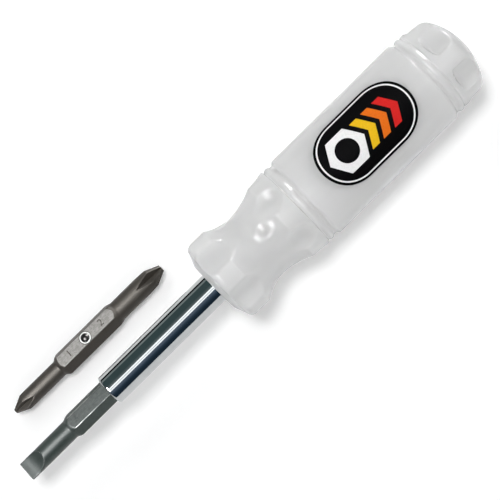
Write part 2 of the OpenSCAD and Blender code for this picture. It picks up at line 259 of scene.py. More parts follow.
# Steel of the bits: oxide shades, ground flat, how bare its edges are rubbed, roughness and reflection
GREY_STEEL = {
    "dark": (0.029, 0.041, 0.037),
    "light": (0.049, 0.065, 0.06),
    "ground": (0.046, 0.061, 0.056),
    "rubbing": 1.0,
    "rough": (0.35, 0.45),
    "shine": 0.36,
    "tint": (1.0, 1.0, 1.0),
}
BROWN_STEEL = {
    "dark": (0.011, 0.008, 0.0055),
    "light": (0.022, 0.0165, 0.0115),
    "ground": (0.27, 0.267, 0.259),
    "rubbing": 0.3,
    "rough": (0.46, 0.54),
    "shine": 0.6,
    "tint": (1.0, 0.95, 0.88),
}
BARE_STEEL = (0.78, 0.78, 0.76)
WORN_FADE = (0.2, 0.8)
LEAST_RUBBED = 0.4
GROUND_SHADES = (0.6, 1.15)

# Where the ground flat and the burnished ring start and end: heights from the top flat, and distances
# from the rims of the ball's hole and of its mouth
FLAT_FADE = (-0.05, -0.01)
RING_DEEP_FADE = (-0.3, -0.1)
RING_OUTER_FADE = (0.06, -0.04)
RING_INNER_FADE = (0.02, 0.1)
RING_ROUGH = 0.3

# Floor
FLOOR_HALF = 3.0
FLOOR_TONE = 0.82
FLOOR_GLOW = 0.28

# Dark walls of the studio as polished metal shows them, from the front horizon over the top to the back
MATT_GLOW = 0.25
NAVY = (0.019, 0.036, 0.057)
BLUE = (0.045, 0.074, 0.113)
PALE_BLUE = (0.14, 0.185, 0.25)
PALE = (0.19, 0.225, 0.23)
TEAL = (0.068, 0.108, 0.112)
LINE = (0.34, 0.39, 0.39)
BLACK = (0.01, 0.013, 0.015)
WALLS = ((0, NAVY), (22, NAVY), (36, BLUE), (50, PALE_BLUE), (58, PALE_BLUE), (88, PALE), (105, TEAL),
         (146, TEAL), (152, LINE), (160, LINE), (167, BLACK), (180, BLACK))

# Lights: name, tilt towards the butt, height from the front horizon, distance, size, power, what it lights
LIGHTS = (
    ("overhead", 0, 91, 1.1, (0.35, 0.35), 6.3, "matt"),
    ("back_fill", 4, 140, 1.2, (1.2, 0.7), 3.7, "matt"),
    ("front_fill", 0, 35, 1.2, (1.2, 0.7), 3.8, "matt"),
    ("strip_back", -8, 79.5, 1.0, (1.6, 0.15), 1.45, "gloss"),
    ("strip_middle", -8, 72.5, 1.0, (1.6, 0.12), 0.55, "gloss"),
    ("strip_front", -8, 65, 1.0, (1.6, 0.14), 1.3, "gloss"),
    ("front_spark", -27, 84, 0.9, (0.3, 0.5), 20.0, "gloss"),
    ("rear_spark", 45, 128, 0.9, (0.2, 0.28), 14.0, "gloss"),
    ("end_spark", 64, 157, 0.9, (0.25, 0.35), 20.0, "gloss"),
)


# Outlines and meshes

def arc(centre, radius, start, end, count=24):
    """Points of an arc in the plane of an outline, between two angles in degrees."""
    turn = np.radians(np.linspace(start, end, count))
    return [(centre[0] + radius * math.cos(a), centre[1] + radius * math.sin(a)) for a in turn]


def regular(centre, radius, sides):
    """Corners of a regular outline, the first of them on the +X side."""
    return arc(centre, radius, 0, 360 - 360 / sides, sides)


def arc_radius(run, rise):
    """Radius of the arc that leaves a level line and rises so far over a run."""
    return (run * run + rise * rise) / (2 * rise)


def angle_of(centre, point):
    """Angle in degrees at which a point is seen from a centre."""
    return math.degrees(math.atan2(point[1] - centre[1], point[0] - centre[0]))


def soft_min(a, b, blend):
    """The smaller of two distances, rounded off where they cross."""
    share = np.clip(0.5 + 0.5 * (b - a) / blend, 0, 1)
    return b + (a - b) * share - blend * share * (1 - share)


def soft_max(a, b, blend):
    """The larger of two distances, rounded off where they cross."""
    return -soft_min(-a, -b, blend)


def weld(mesh):
    """Joins points in one place, which drops the faces without area there, and turns faces outwards."""
    work = bmesh.new()
    work.from_mesh(mesh)
    bmesh.ops.remove_doubles(work, verts=work.verts, dist=WELD * MM)
    bmesh.ops.recalc_face_normals(work, faces=work.faces)
    work.to_mesh(mesh)
    work.free()


def add_object(name, data):
    """An object in the scene for a mesh, curve, light or camera."""
    made = bpy.data.objects.new(name, data)
    bpy.context.scene.collection.objects.link(made)
    return made


def new_piece(name, points, faces, smooth=True):
    """A mesh piece from its points in metres, with its faces turned outwards."""
    mesh = bpy.data.meshes.new(name)
    mesh.from_pydata([tuple(p) for p in points], [], [tuple(map(int, f)) for f in faces])
    work = bmesh.new()
    work.from_mesh(mesh)
    bmesh.ops.recalc_face_normals(work, faces=work.faces)
    work.to_mesh(mesh)
    work.free()
    mesh.polygons.foreach_set("use_smooth", [smooth] * len(mesh.polygons))
    return add_object(name, mesh)


def ring_faces(rings, steps):
    """The numbers of the points on rings, one row a ring, and the faces between neighbouring rings."""
    a = np.arange(rings * steps).reshape(rings, steps)
    b = np.roll(a, -1, axis=1)
    return a, np.stack([a[:-1], b[:-1], b[1:], a[1:]], axis=-1).reshape(-1, 4).tolist()


def ring_skin(name, axis, along, radius, turn):
    """A closed skin through rings round an axis, with a row of distances for each ring."""
    rings, steps = radius.shape
    points = np.empty((rings * steps + 2, 3))
    points[:-2, 0] = axis.start + np.repeat(along, steps) * MM
    points[:-2, 1] = (axis.y - radius * MM * np.sin(turn)).ravel()
    points[:-2, 2] = (axis.z + radius * MM * np.cos(turn)).ravel()
    first, last = rings * steps, rings * steps + 1
    points[first] = (axis.start + along[0] * MM, axis.y, axis.z)
    points[last] = (axis.start + along[-1] * MM, axis.y, axis.z)
    a, quads = ring_faces(rings, steps)
    b = np.roll(a, -1, axis=1)
    caps = [(first, q, p) for p, q in zip(a[0], b[0])] + [(last, p, q) for p, q in zip(a[-1], b[-1])]
    return new_piece(name, points, quads + caps)


# Handle

def bead(place):
    """Outline of a bead that stands out of its groove."""
    sunk = BEAD_R - BEAD_RISE
    edge = math.degrees(math.asin(sunk / BEAD_R))
    return arc((place, GROOVE_R - sunk), BEAD_R, 180 - edge, edge)


def handle_outline():
    """The handle's outside, from the lip round the shaft to the top of its dome."""
    corner = (FLANGE_S, FLANGE_R - NOSE_ROUND)
    front_r = arc_radius(WAIST_FRONT, FLANGE_R - WAIST_R)
    rear_r = arc_radius(WAIST_REAR, COLLAR_R - WAIST_R)
    front = (WAIST_MID_S, WAIST_R + front_r)
    rear = (WAIST_MID_S, WAIST_R + rear_r)
    dome = (DOME_S, BUTT_R - DOME_ROUND)
    rise = DOME_LEN - DOME_ROUND
    crown_r = (dome[1] ** 2 + DOME_LEN ** 2 - DOME_ROUND ** 2) / (2 * rise)
    crown = (HANDLE_LEN - crown_r, 0.0)
    join = angle_of(crown, dome)
    edge_r = BARREL_R - BARREL_BEVEL
    points = [(0.0, BORE_R + NOSE_LIP), (0.0, NOSE_FLAT_R)]
    points += arc(corner, NOSE_ROUND, 180, 90)
    points += arc(front, front_r, angle_of(front, (WAIST_S, FLANGE_R)), -90)
    points += arc(rear, rear_r, -90, angle_of(rear, (COLLAR_S, COLLAR_R)))
    points += [(FRONT_BAND_S, COLLAR_R), (FRONT_BAND_S, GROOVE_R)]
    points += bead(FRONT_BAND_S + BAND_LEN / 3)
    points += [(BARREL_S - BARREL_BEVEL, GROOVE_R), (BARREL_S - BARREL_BEVEL, edge_r)]
    points += [(BARREL_S, BARREL_R), (REAR_BAND_S, BARREL_R)]
    points += [(REAR_BAND_S + BARREL_BEVEL, edge_r), (REAR_BAND_S + BARREL_BEVEL, GROOVE_R)]
    points += bead(BUTT_S - BAND_LEN / 3)
    points += [(BUTT_S, GROOVE_R), (BUTT_S, BUTT_R)]
    points += arc(dome, DOME_ROUND, 90, join)
    points += arc(crown, crown_r, join, DOME_STOP)
    return np.array(points)


def soften(points, step, spread):
    """An outline in even steps, with its corners rounded off and its ends kept."""
    run = np.concatenate([[0], np.cumsum(np.hypot(*np.diff(points, axis=0).T))])
    even = np.linspace(0, run[-1], int(run[-1] / step) + 1)
    line = np.column_stack([np.interp(even, run, points[:, k]) for k in (0, 1)])
    reach = int(3 * spread / step)
    weight = np.exp(-0.5 * (np.arange(-reach, reach + 1) * step / spread) ** 2)
    weight /= weight.sum()
    wide = np.pad(line, ((reach, reach), (0, 0)), mode="reflect", reflect_type="odd")
    return np.column_stack([np.convolve(wide[:, k], weight, "valid") for k in (0, 1)])


def thin_out(line):
    """The points of a fine outline that its bends and the flutes need."""
    kept = [0]
    heading = np.arctan2(*np.diff(line, axis=0).T[::-1])
    for i in range(1, len(line) - 1):
        step = np.hypot(*(line[i] - line[kept[-1]]))
        fluted_here = line[i, 0] < FRONT_BAND_S or line[i, 0] > BUTT_S
        far = step > (FLUTED_STEP if fluted_here else PLAIN_STEP)
        if far or abs(heading[i] - heading[kept[-1]]) > RING_TURN:
            kept.append(i)
    return line[kept + [len(line) - 1]]


def hollow(turn, axis_r, radius):
    """Distance from the handle's axis to the bottom of a flute, at an angle from its middle."""
    room = radius ** 2 - (axis_r * np.sin(turn)) ** 2
    deep = axis_r * np.cos(turn) - np.sqrt(np.maximum(room, 0))
    return np.where((room > 0) & (np.cos(turn) > 0), deep, NO_FLUTE_R)


def fluted(s, r, turn):
    """The handle's radius with its flutes hollowed out, for a column of rings and a row of angles."""
    past_nose = np.clip(s - NOSE_FLUTE_END, 0, NOSE_FLUTE_R)
    nose_r = np.sqrt(NOSE_FLUTE_R ** 2 - past_nose ** 2)
    short = np.clip((BUTT_FLUTE_START + BUTT_FLUTE_RUN - s) / BUTT_FLUTE_RUN, 0, 1)
    butt_r = BUTT_FLUTE_R * np.sqrt(1 - short ** 2)
    front = s < BARREL_S
    axis_r = np.where(front, NOSE_FLUTE_AXIS, BUTT_FLUTE_AXIS)
    radius = np.where(front, nose_r, butt_r)
    for i in range(FLUTE_COUNT):
        middle = math.radians((i + 0.5) * 360 / FLUTE_COUNT + HANDLE_ROLL)
        r = soft_min(r, hollow(turn - middle, axis_r, radius), FLUTE_SOFT)
    return r


def moulded_mark(s, turn):
    """Height of the small round mark that the mould leaves on the waist: a rim round a shallow dip."""
    aside = (np.mod(turn - math.radians(MARK_TURN) + math.pi, 2 * math.pi) - math.pi) * WAIST_R
    away = np.hypot(s - MARK_S, aside)
    rim = MARK_RISE * np.exp(-((away - MARK_R) / MARK_WIDTH) ** 2)
    return rim - MARK_DIP * np.clip(1 - away / MARK_DIP_R, 0, 1)


def ear_slots(turn):
    """Reach of the slots for the tube's ears, which lie to both sides of the bore."""
    aside = np.abs(np.sin(turn))
    across = np.abs(np.cos(turn))
    flat = EAR_SLOT_REACH / np.maximum(aside, TINY)
    wall = EAR_SLOT_HALF / np.maximum(across, TINY)
    return np.where(aside > EAR_SLOT_SIDE, np.minimum(flat, wall), 0.0)


def make_handle(material):
    """One skin from the end of the bit store, out through the bore and over the outside to the dome."""
    deep = [(STORE_END, STORE_HUB_R), (STORE_END, STORE_R), (BORE_END, STORE_R), (BORE_END, BORE_R),
            (EAR_SLOT_END, BORE_R)]
    near = [(EAR_SLOT_END, BORE_R)] + [(s, BORE_R + wider) for s, wider in BORE_MOUTH]
    inside = np.array(deep + near)
    outside = thin_out(soften(handle_outline(), FINE_STEP, CORNER_SOFT))
    s = np.concatenate([inside[:, 0], outside[:, 0]])
    turn = np.linspace(0, 2 * np.pi, SKIN_STEPS, endpoint=False)
    bore = np.repeat(inside[:, 1:], SKIN_STEPS, axis=1)
    skin = fluted(outside[:, :1], outside[:, 1:], turn) + moulded_mark(outside[:, :1], turn)
    radius = np.vstack([bore, skin])
    slotted = np.zeros(len(s), bool)
    slotted[len(deep):len(inside)] = True
    slotted[len(inside):] = s[len(inside):] < NOSE_RISE
    radius[slotted] = np.maximum(radius[slotted], ear_slots(turn))
    piece = ring_skin("moulded_handle", DRIVER, s, radius, turn)
    weld(piece.data)
    piece.data.set_sharp_from_angle(angle=SHARP_ANGLE)
    piece.data.materials.append(material)
    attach(piece, "handle")
    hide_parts("handle")


# Printed panel

def stadium(length, width):
    """Outline of a panel with round ends, about its own middle."""
    half = (length - width) / 2
    right = arc((half, 0), width / 2, -90, 90, PRINT_END_POINTS)
    left = arc((-half, 0), width / 2, 90, 270, PRINT_END_POINTS)
    return right + left


def chevron(place):
    """Outline of a chevron that points towards the butt."""
    back, front = place - CHEVRON_WIDTH / 2, place + CHEVRON_WIDTH / 2
    high = CHEVRON_HEIGHT / 2
    return [(back - CHEVRON_POINT, -high), (front - CHEVRON_POINT, -high), (front, 0),
            (front - CHEVRON_POINT, high), (back - CHEVRON_POINT, high), (back, 0)]


def print_layer(name, outline, material, layer):
    """A thin closed layer of ink that follows the barrel, from an outline in millimetres on its surface."""
    work = bmesh.new()
    work.faces.new([work.verts.new((s, a, 0)) for s, a in outline])
    low, high = min(a for _, a in outline), max(a for _, a in outline)
    for cut_at in np.arange(low + PRINT_STEP / 2, high, PRINT_STEP):
        everything = work.verts[:] + work.edges[:] + work.faces[:]
        bmesh.ops.bisect_plane(work, geom=everything, plane_co=(0, cut_at, 0), plane_no=(0, 1, 0))
    raised = bmesh.ops.extrude_face_region(work, geom=work.faces[:])["geom"]
    top = {v for v in raised if isinstance(v, bmesh.types.BMVert)}
    for vert in work.verts:
        s, a, _ = vert.co
        r = BARREL_R + (layer * PRINT_RISE if vert in top else -PRINT_DEEP)
        turn = PRINT_TURN - a / BARREL_R
        vert.co = (DRIVER.start + (PRINT_S + s) * MM, DRIVER.y - r * MM * math.sin(turn),
                   DRIVER.z + r * MM * math.cos(turn))
    bmesh.ops.recalc_face_normals(work, faces=work.faces)
    mesh = bpy.data.meshes.new(name)
    work.to_mesh(mesh)
    work.free()
    mesh.materials.append(material)
    piece = add_object(name, mesh)
    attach(piece, "handle")


def make_print():
    """A black panel with a white keyline, and on it the outline of a nut and three chevrons."""
    black = ink("black_ink", BLACK_INK)
    white = ink("white_ink", WHITE_INK)
    edge = 2 * PRINT_EDGE
    field = edge + 2 * PRINT_KEYLINE
    print_layer("print_panel", stadium(PRINT_LEN, PRINT_WIDTH), black, layer=1)
    print_layer("print_keyline", stadium(PRINT_LEN - edge, PRINT_WIDTH - edge), white, layer=2)
    print_layer("print_field", stadium(PRINT_LEN - field, PRINT_WIDTH - field), black, layer=3)
    print_layer("print_nut", regular((NUT_AT, 0), NUT_R, NUT_SIDES), white, layer=4)
    print_layer("print_nut_hole", regular((NUT_AT, 0), NUT_HOLE_R, NUT_HOLE_SIDES), black, layer=5)
    for name, place, ink_name, colour in CHEVRONS:
        print_layer("print_chevron_" + name, chevron(place), ink(ink_name, colour), layer=4)


# Bits

def hex_radius(turn, soft):
    """Distance from the axis to a hex with a flat on top and softened corners."""
    aside = np.abs(np.mod(turn + math.pi / 6, math.pi / 3) - math.pi / 6)
    near = HEX_AF / 2 / np.cos(aside)
    beyond = HEX_AF / 2 / np.cos(math.pi / 3 - aside)
    return soft_min(near, beyond, EDGE_SOFT * soft)


def bit_radius(u, turn, hex_span, widths, soft):
    """Distance from the axis to a bit's hex, shoulders and round ends."""
    body = np.broadcast_to(hex_radius(turn, soft), (len(u), len(turn)))
    for foot, width, way in zip(hex_span, widths, (1, -1)):
        slope = (HEX_CORNER_R - width / 2) / SHOULDER_LEN
        body = soft_min(body, width / 2 + slope * (u - foot) * way, EDGE_SOFT)
    shank = np.where(u < sum(hex_span) / 2, widths[0] / 2, widths[1] / 2)
    return soft_max(body, shank, SHOULDER_SOFT)


def blade_radius(u, turn, width, thick):
    """Distance from the axis to the faces of a hollow-ground blade whose edge is at u = 0."""
    grind = GRIND_LEN - GRIND_LAND
    hollow_r = arc_radius(grind, (width - thick) / 2)
    run = np.clip(u - GRIND_LAND, 0, grind + WORKED_OVER)
    height = thick / 2 + hollow_r - np.sqrt(hollow_r ** 2 - run ** 2)
    return height / np.maximum(np.abs(np.cos(turn)), TINY)


def cross_radius(u, turn, width, tip, floor, first, slot_len, soft):
    """Distance from the axis to a cross point: its cone, and the slots that a sharp-rimmed wheel cuts."""
    cone = tip / 2 + u * math.tan(CROSS_SLOPE)
    wheel = arc_radius(slot_len, width / 2 - floor)
    centre = floor + wheel
    aside = np.abs(np.mod(turn - first + math.pi / 4, math.pi / 2) - math.pi / 4)
    a = np.cos(2 * aside)
    b = 2 * (wheel * np.sin(aside) - centre * np.cos(aside))
    c = u ** 2 + centre ** 2 - wheel ** 2
    room = b ** 2 - 4 * a * c
    slot = np.where(room > 0, 2 * c / (np.sqrt(np.maximum(room, 0)) - b), UNCUT_R)
    return soft_min(soft_min(cone, slot, CROSS_SOFT * soft), HEX_AF, CROSS_SOFT)


def bit_places(length, hex_start, worked):
    """Places of the rings along a bit: close on the worked ends and shoulders, and wide apart between."""
    shoulder = hex_start - SHOULDER_BEFORE
    half = [*TIP_PLACES, *np.arange(WORKED_START, worked, WORKED_STEP)]
    half += np.arange(worked, shoulder, SHANK_STEP).tolist()
    half += np.arange(shoulder, hex_start + SHOULDER_AFTER, SHOULDER_STEP).tolist()
    half.append(hex_start + HEX_INSET)
    return np.array(half + [length - u for u in reversed(half)])[:, None]


def rounded_tips(u, length, radius):
    """A bit's radius, drawn in a little at both tips."""
    near = np.minimum(u, length - u)
    inset = TIP_ROUND - np.sqrt(np.maximum(TIP_ROUND ** 2 - np.maximum(TIP_ROUND - near, 0) ** 2, 0))
    return radius - inset


def lathe(outline, steps, ring):
    """Points and faces of a solid turned about Z from (radius, height) points: a ring, or a capped plug."""
    turn = np.linspace(0, 2 * np.pi, steps, endpoint=False)
    points = [(r * math.cos(t), r * math.sin(t), z) for r, z in outline for t in turn]
    count = len(outline)
    faces = [] if ring else [range(steps), range((count - 1) * steps, count * steps)]
    for i in range(count if ring else count - 1):
        below, above = i * steps, (i + 1) % count * steps
        for k in range(steps):
            n = (k + 1) % steps
            faces.append((below + k, below + n, above + n, above + k))
    return points, faces


def hole_cutter(axis):
    """What is taken out of a bit's top flat: the ball's hole with its lip, and the stake mark round it."""
    top_r = DETENT_MOUTH_R - OFF_FLAT * (DETENT_R - DETENT_MOUTH_R) / DETENT_LIP
    hole = [(DETENT_R, -DETENT_DEPTH), (DETENT_R, -DETENT_LIP), (top_r, OFF_FLAT), (top_r, CUT_OVER)]
    middle_r = (DETENT_R + STAKE_R) / 2
    stake = [(middle_r, -STAKE_DEPTH), (STAKE_R, OFF_FLAT), (STAKE_R, CUT_OVER), (DETENT_R, CUT_OVER),
             (DETENT_R, OFF_FLAT)]
    points, faces = [], []
    for outline, ring in ((hole, False), (stake, True)):
        more, skin = lathe(outline, HOLE_STEPS, ring)
        faces += [tuple(i + len(points) for i in face) for face in skin]
        points += more
    placed = [(axis.middle + x * MM, axis.y + y * MM, axis.top + z * MM) for x, y, z in points]
    return new_piece("hole_cutter", placed, faces, smooth=False)


def number_cutter(axis, number, along):
    """A number that is cut into a bit's top flat, read along the bit."""
    curve = bpy.data.curves.new("number", "FONT")
    curve.body = number
    curve.size = NUMBER_SIZE * MM
    curve.align_x = "CENTER"
    curve.align_y = "CENTER"
    curve.extrude = NUMBER_DEPTH * MM
    text = add_object("number", curve)
    text.location = (axis.middle + along * MM, axis.y, axis.top)
    bpy.context.view_layer.update()
    mesh = bpy.data.meshes.new_from_object(text.evaluated_get(bpy.context.evaluated_depsgraph_get()))
    mesh.transform(text.matrix_world)
    bpy.data.objects.remove(text)
    weld(mesh)
    return add_object("number_cutter", mesh)


def cut(piece, cutters):
    """Takes the cutters out of a piece, for good, and keeps its clear edges sharp."""
    for cutter in cutters:
        step = piece.modifiers.new("cut", "BOOLEAN")
        step.operation = "DIFFERENCE"
        step.solver = "EXACT"
        step.object = cutter
    bpy.context.view_layer.update()
    mesh = bpy.data.meshes.new_from_object(piece.evaluated_get(bpy.context.evaluated_depsgraph_get()))
    piece.modifiers.clear()
    piece.data = mesh
    mesh.polygons.foreach_set("use_smooth", [True] * len(mesh.polygons))
    mesh.set_sharp_from_angle(angle=SHARP_ANGLE)
    for cutter in cutters:
        bpy.data.objects.remove(cutter)


def finish_bit(name, axis, u, shape, numbers, material, body, node):
    """A bit from its shape, a function of how soft its edges are, with its hole and number cut in."""
    length = float(u[-1, 0])
    turn = np.linspace(0, 2 * np.pi, BIT_STEPS, endpoint=False)
    radius = shape(turn, 1.0)
    piece = ring_skin(name, axis, u[:, 0], rounded_tips(u, length, radius), turn)
    wear = np.clip((shape(turn, HARD) - radius) / WEAR_DEPTH, 0, 1).ravel()
    piece.data.attributes.new("wear", "FLOAT", "POINT").data.foreach_set("value", np.append(wear, (0, 0)))
    cut(piece, [hole_cutter(axis)] + [number_cutter(axis, *number) for number in numbers])
    piece.data.materials.clear()
    piece.data.materials.append(material)
    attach(piece, body)
    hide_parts(node)


def make_slotted_bit(material):
    """A bit with a hollow-ground blade at each end."""
    length = BLADE_HEX[0] + BLADE_HEX[1]
    u = bit_places(length, BLADE_HEX[0], GRIND_LEN + WORKED_OVER)

    def shape(turn, soft):
        radius = bit_radius(u, turn, BLADE_HEX, BLADE_WIDTHS, soft)
        for end, width, thick in zip((u, length - u), BLADE_WIDTHS, BLADE_THICKS):
            radius = soft_min(radius, blade_radius(end, turn, width, thick), GRIND_SOFT * soft)
        return radius

    finish_bit("ground_slotted_bit", SLOTTED, u, shape, SLOTTED_NUMBERS, material,
               body="slotted", node="slotted_bit")


def make_cross_bit(material):
    """A bit with a cross point at each end."""
    length = CROSS_HEX[0] + CROSS_HEX[1]
    u = bit_places(length, CROSS_HEX[0], max(CROSS_SLOT_LENS) + WORKED_OVER)

    def shape(turn, soft):
        radius = bit_radius(u, turn, CROSS_HEX, CROSS_WIDTHS, soft)
        ends = zip((u, length - u), CROSS_WIDTHS, CROSS_TIPS, CROSS_FLOORS, CROSS_TURNS, CROSS_SLOT_LENS)
        for end, width, tip, floor, first, slot_len in ends:
            point = cross_radius(end, turn, width, tip, floor, first, slot_len, soft)
            radius = soft_min(radius, point, CROSS_SOFT * soft)
        return radius

    finish_bit("milled_cross_bit", CROSS, u, shape, CROSS_NUMBERS, material,
               body="phillips", node="phillips_bit")


def make_spring(name, node, body, material):
    """A smooth coil for a detent spring, as high as its CAD node."""
    low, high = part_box(node)
    x, y = (low.x + high.x) / 2, (low.y + high.y) / 2
    wire_r = SPRING_WIRE_R * MM
    turn = np.linspace(0, SPRING_TURNS * 2 * np.pi, SPRING_STEPS)[:, None]
    side = np.linspace(0, 2 * np.pi, WIRE_SIDES, endpoint=False)
    reach = SPRING_R * MM + wire_r * np.cos(side)
    height = np.linspace(low.z + wire_r, high.z - wire_r, SPRING_STEPS)[:, None] + wire_r * np.sin(side)
    points = np.stack([x + reach * np.cos(turn), y + reach * np.sin(turn), height], axis=-1)
    numbers, quads = ring_faces(SPRING_STEPS, WIRE_SIDES)
    piece = new_piece(name, points.reshape(-1, 3), quads + [numbers[0], numbers[-1]])
    piece.data.set_sharp_from_angle(angle=SHARP_ANGLE)
    piece.data.materials.append(material)
    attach(piece, body)
    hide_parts(node)
    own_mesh(piece)


# Materials

class Nodes:
    """The shader nodes of a material or a world, added one at a time."""

    def __init__(self, tree):
        self.tree = tree

    def node(self, kind, settings=None, inputs=None):
        """A new node, with its settings made and its inputs fed."""
        made = self.tree.nodes.new("ShaderNode" + kind)
        for key, value in (settings or {}).items():
            setattr(made, key, value)
        for key, value in (inputs or {}).items():
            self.feed(made.inputs[key], value)
        return made

    def feed(self, socket, value):
        """Links an output to a socket, or sets the socket to a plain value."""
        if isinstance(value, bpy.types.NodeSocket):
            self.tree.links.new(value, socket)
        else:
            socket.default_value = value

    def ramp(self, factor, *stops):
        """A colour ramp through (place, grey or colour) stops."""
        made = self.node("ValToRGB", inputs={"Fac": factor})
        while len(made.color_ramp.elements) < len(stops):
            made.color_ramp.elements.new(0.5)
        for element, (place, colour) in zip(made.color_ramp.elements, stops):
            element.position = place
            element.color = (*colour, 1) if isinstance(colour, tuple) else (colour, colour, colour, 1)
        return made.outputs["Color"]

    def math(self, operation, a, b=0.0):
        return self.node("Math", {"operation": operation}, {0: a, 1: b}).outputs["Value"]

    def mix(self, factor, a, b):
        """A colour between two colours."""
        return self.node("Mix", {"data_type": "RGBA"}, {0: factor, 6: a, 7: b}).outputs[2]


class Look(Nodes):
    """A node material, built up round its Principled shader."""

    def __init__(self, name):
        self.material = bpy.data.materials.new(name)
        self.material.use_nodes = True
        super().__init__(self.material.node_tree)
        self.shader = self.tree.nodes["Principled BSDF"]
        self.place = self.node("TexCoord").outputs["Object"]

    def set(self, **values):
        """Feeds inputs of the shader, whose names are written with _ for a space."""
        for key, value in values.items():
            self.feed(self.shader.inputs[key.replace("_", " ")], value)

    def stretched(self, x, y, z):
        """Object coordinates drawn out, in repeats per metre along each axis."""
        return self.node("Mapping", inputs={"Vector": self.place, "Scale": (x, y, z)}).outputs["Vector"]

    def noise(self, place, scale, detail=3.0, roughness=0.5):
        inputs = {"Vector": place, "Scale": scale, "Detail": detail, "Roughness": roughness}
        return self.node("TexNoise", inputs=inputs).outputs["Fac"]

    def blend(self, a, b, share):
        """A value between two values, with a fixed share of the second."""
        return self.math("ADD", self.math("MULTIPLY", a, 1 - share), self.math("MULTIPLY", b, share))

    def step(self, value, low, high):
        """0 below the low value and 1 above the high one, or the other way round if low is higher."""
        inputs = {"Value": value, "From Min": low, "From Max": high}
        return self.node("MapRange", {"interpolation_type": "SMOOTHSTEP"}, inputs).outputs["Result"]

    def bump(self, height, strength, distance):
        inputs = {"Height": height, "Strength": strength, "Distance": distance}
        return self.node("Bump", inputs=inputs).outputs["Normal"]


def handle_plastic():
    """Milky plastic with faint clouds and flow lines, lit through below its skin."""
    look = Look("handle_plastic")
    dark, light = MILKY_SHADES
    cloud = look.noise(look.place, scale=70)
    flow = look.noise(look.stretched(40, 400, 400), scale=1.0, detail=2)
    scuff = look.noise(look.place, scale=300, detail=4)
    ripple = look.noise(look.place, scale=160, detail=2)
    look.set(Base_Color=look.ramp(look.blend(cloud, flow, share=0.3), (0.3, dark), (0.7, light)))
    look.set(Roughness=look.ramp(scuff, (0.3, 0.09), (0.7, 0.13)))
    look.set(Normal=look.bump(ripple, strength=0.1, distance=0.04 * MM))
    look.set(Subsurface_Weight=1.0, Subsurface_Radius=(1.0, 1.0, 1.0), Subsurface_Scale=0.015)
    look.set(IOR=1.47, Specular_IOR_Level=0.15, Sheen_Weight=0.1, Sheen_Roughness=0.5)
    return look.material


def ink(name, colour):
    """Printing ink with a fine grain."""
    look = Look(name)
    grain = look.noise(look.place, scale=2400, detail=4)
    worn = tuple(c * INK_FADE + INK_HAZE for c in colour)
    look.set(Base_Color=look.ramp(grain, (0.35, worn), (0.6, colour)))
    look.set(Roughness=look.ramp(grain, (0.3, 0.32), (0.7, 0.42)), Specular_IOR_Level=0.02)
    look.set(Normal=look.bump(grain, strength=0.1, distance=0.01 * MM))
    return look.material


def plated_tube():
    """Bright plating over fine lines along the drawn tube."""
    look = Look("plated_tube")
    dark, light = PLATED_SHADES
    drawn = look.noise(look.stretched(60, 3200, 3200), scale=1.0, detail=4)
    patch = look.noise(look.place, scale=260)
    look.set(Metallic=1.0, Base_Color=look.ramp(patch, (0.3, dark), (0.7, light)))
    look.set(Roughness=look.ramp(drawn, (0.3, 0.04), (0.75, 0.075)))
    look.set(Normal=look.bump(drawn, strength=0.1, distance=0.01 * MM))
    return look.material


def bit_steel(name, axis, dark, light, ground, rubbing, rough, shine, tint):
    """Oxide-dark steel with a mottled ground top flat, rubbed edges and a burnished ring round the ball."""
    look = Look(name)
    grain = look.noise(look.place, scale=2600, detail=5, roughness=0.7)
    patch = look.noise(look.place, scale=420, detail=4)
    scratched = look.noise(look.stretched(900, 5000, 5000), scale=1.0)
    mottle = look.noise(look.place, scale=1100, detail=4, roughness=0.65)
    wear = look.node("Attribute", {"attribute_name": "wear"}).outputs["Fac"]

    x, y, z = look.node("SeparateXYZ", inputs={"Vector": look.place}).outputs
    out_x = look.math("SUBTRACT", x, axis.middle)
    out_y = look.math("SUBTRACT", y, axis.y)
    squared = look.math("ADD", look.math("MULTIPLY", out_x, out_x), look.math("MULTIPLY", out_y, out_y))
    away = look.math("SQRT", squared)
    flat = look.step(z, *(axis.top + fade * MM for fade in FLAT_FADE))
    near_top = look.step(z, *(axis.top + fade * MM for fade in RING_DEEP_FADE))
    outer = look.step(away, *((DETENT_R + fade) * MM for fade in RING_OUTER_FADE))
    inner = look.step(away, *((DETENT_MOUTH_R + fade) * MM for fade in RING_INNER_FADE))
    ring = look.math("MULTIPLY", look.math("MULTIPLY", outer, inner), near_top)

    oxide = look.ramp(look.blend(grain, patch, share=0.5), (0.35, dark), (0.68, light))
    low, high = (tuple(c * shade for c in ground) for shade in GROUND_SHADES)
    worked = look.ramp(look.blend(scratched, mottle, share=0.6), (0.38, low), (0.62, high))
    uneven = look.ramp(patch, (0.38, LEAST_RUBBED * rubbing), (0.62, rubbing))
    rubbed = look.math("MULTIPLY", look.step(wear, *WORN_FADE), uneven)
    rubbed = look.math("MAXIMUM", rubbed, ring)
    dull = look.ramp(patch, (0.3, rough[0]), (0.7, rough[1]))

    look.set(Base_Color=look.mix(rubbed, look.mix(flat, oxide, worked), (*BARE_STEEL, 1)), Metallic=rubbed)
    look.set(Roughness=look.mix(ring, dull, (RING_ROUGH, RING_ROUGH, RING_ROUGH, 1)))
    look.set(Normal=look.bump(grain, strength=0.22, distance=0.03 * MM))
    look.set(Specular_IOR_Level=shine, Specular_Tint=(*tint, 1))
    return look.material


def spring_wire():
    """Drawn wire with an uneven shine."""
    look = Look("spring_wire")
    dark, light = WIRE_SHADES
    drawn = look.noise(look.place, scale=1800)
    look.set(Metallic=1.0, Base_Color=look.ramp(drawn, (0.3, dark), (0.7, light)))
    look.set(Roughness=look.ramp(drawn, (0.3, 0.2), (0.7, 0.35)))
    return look.material


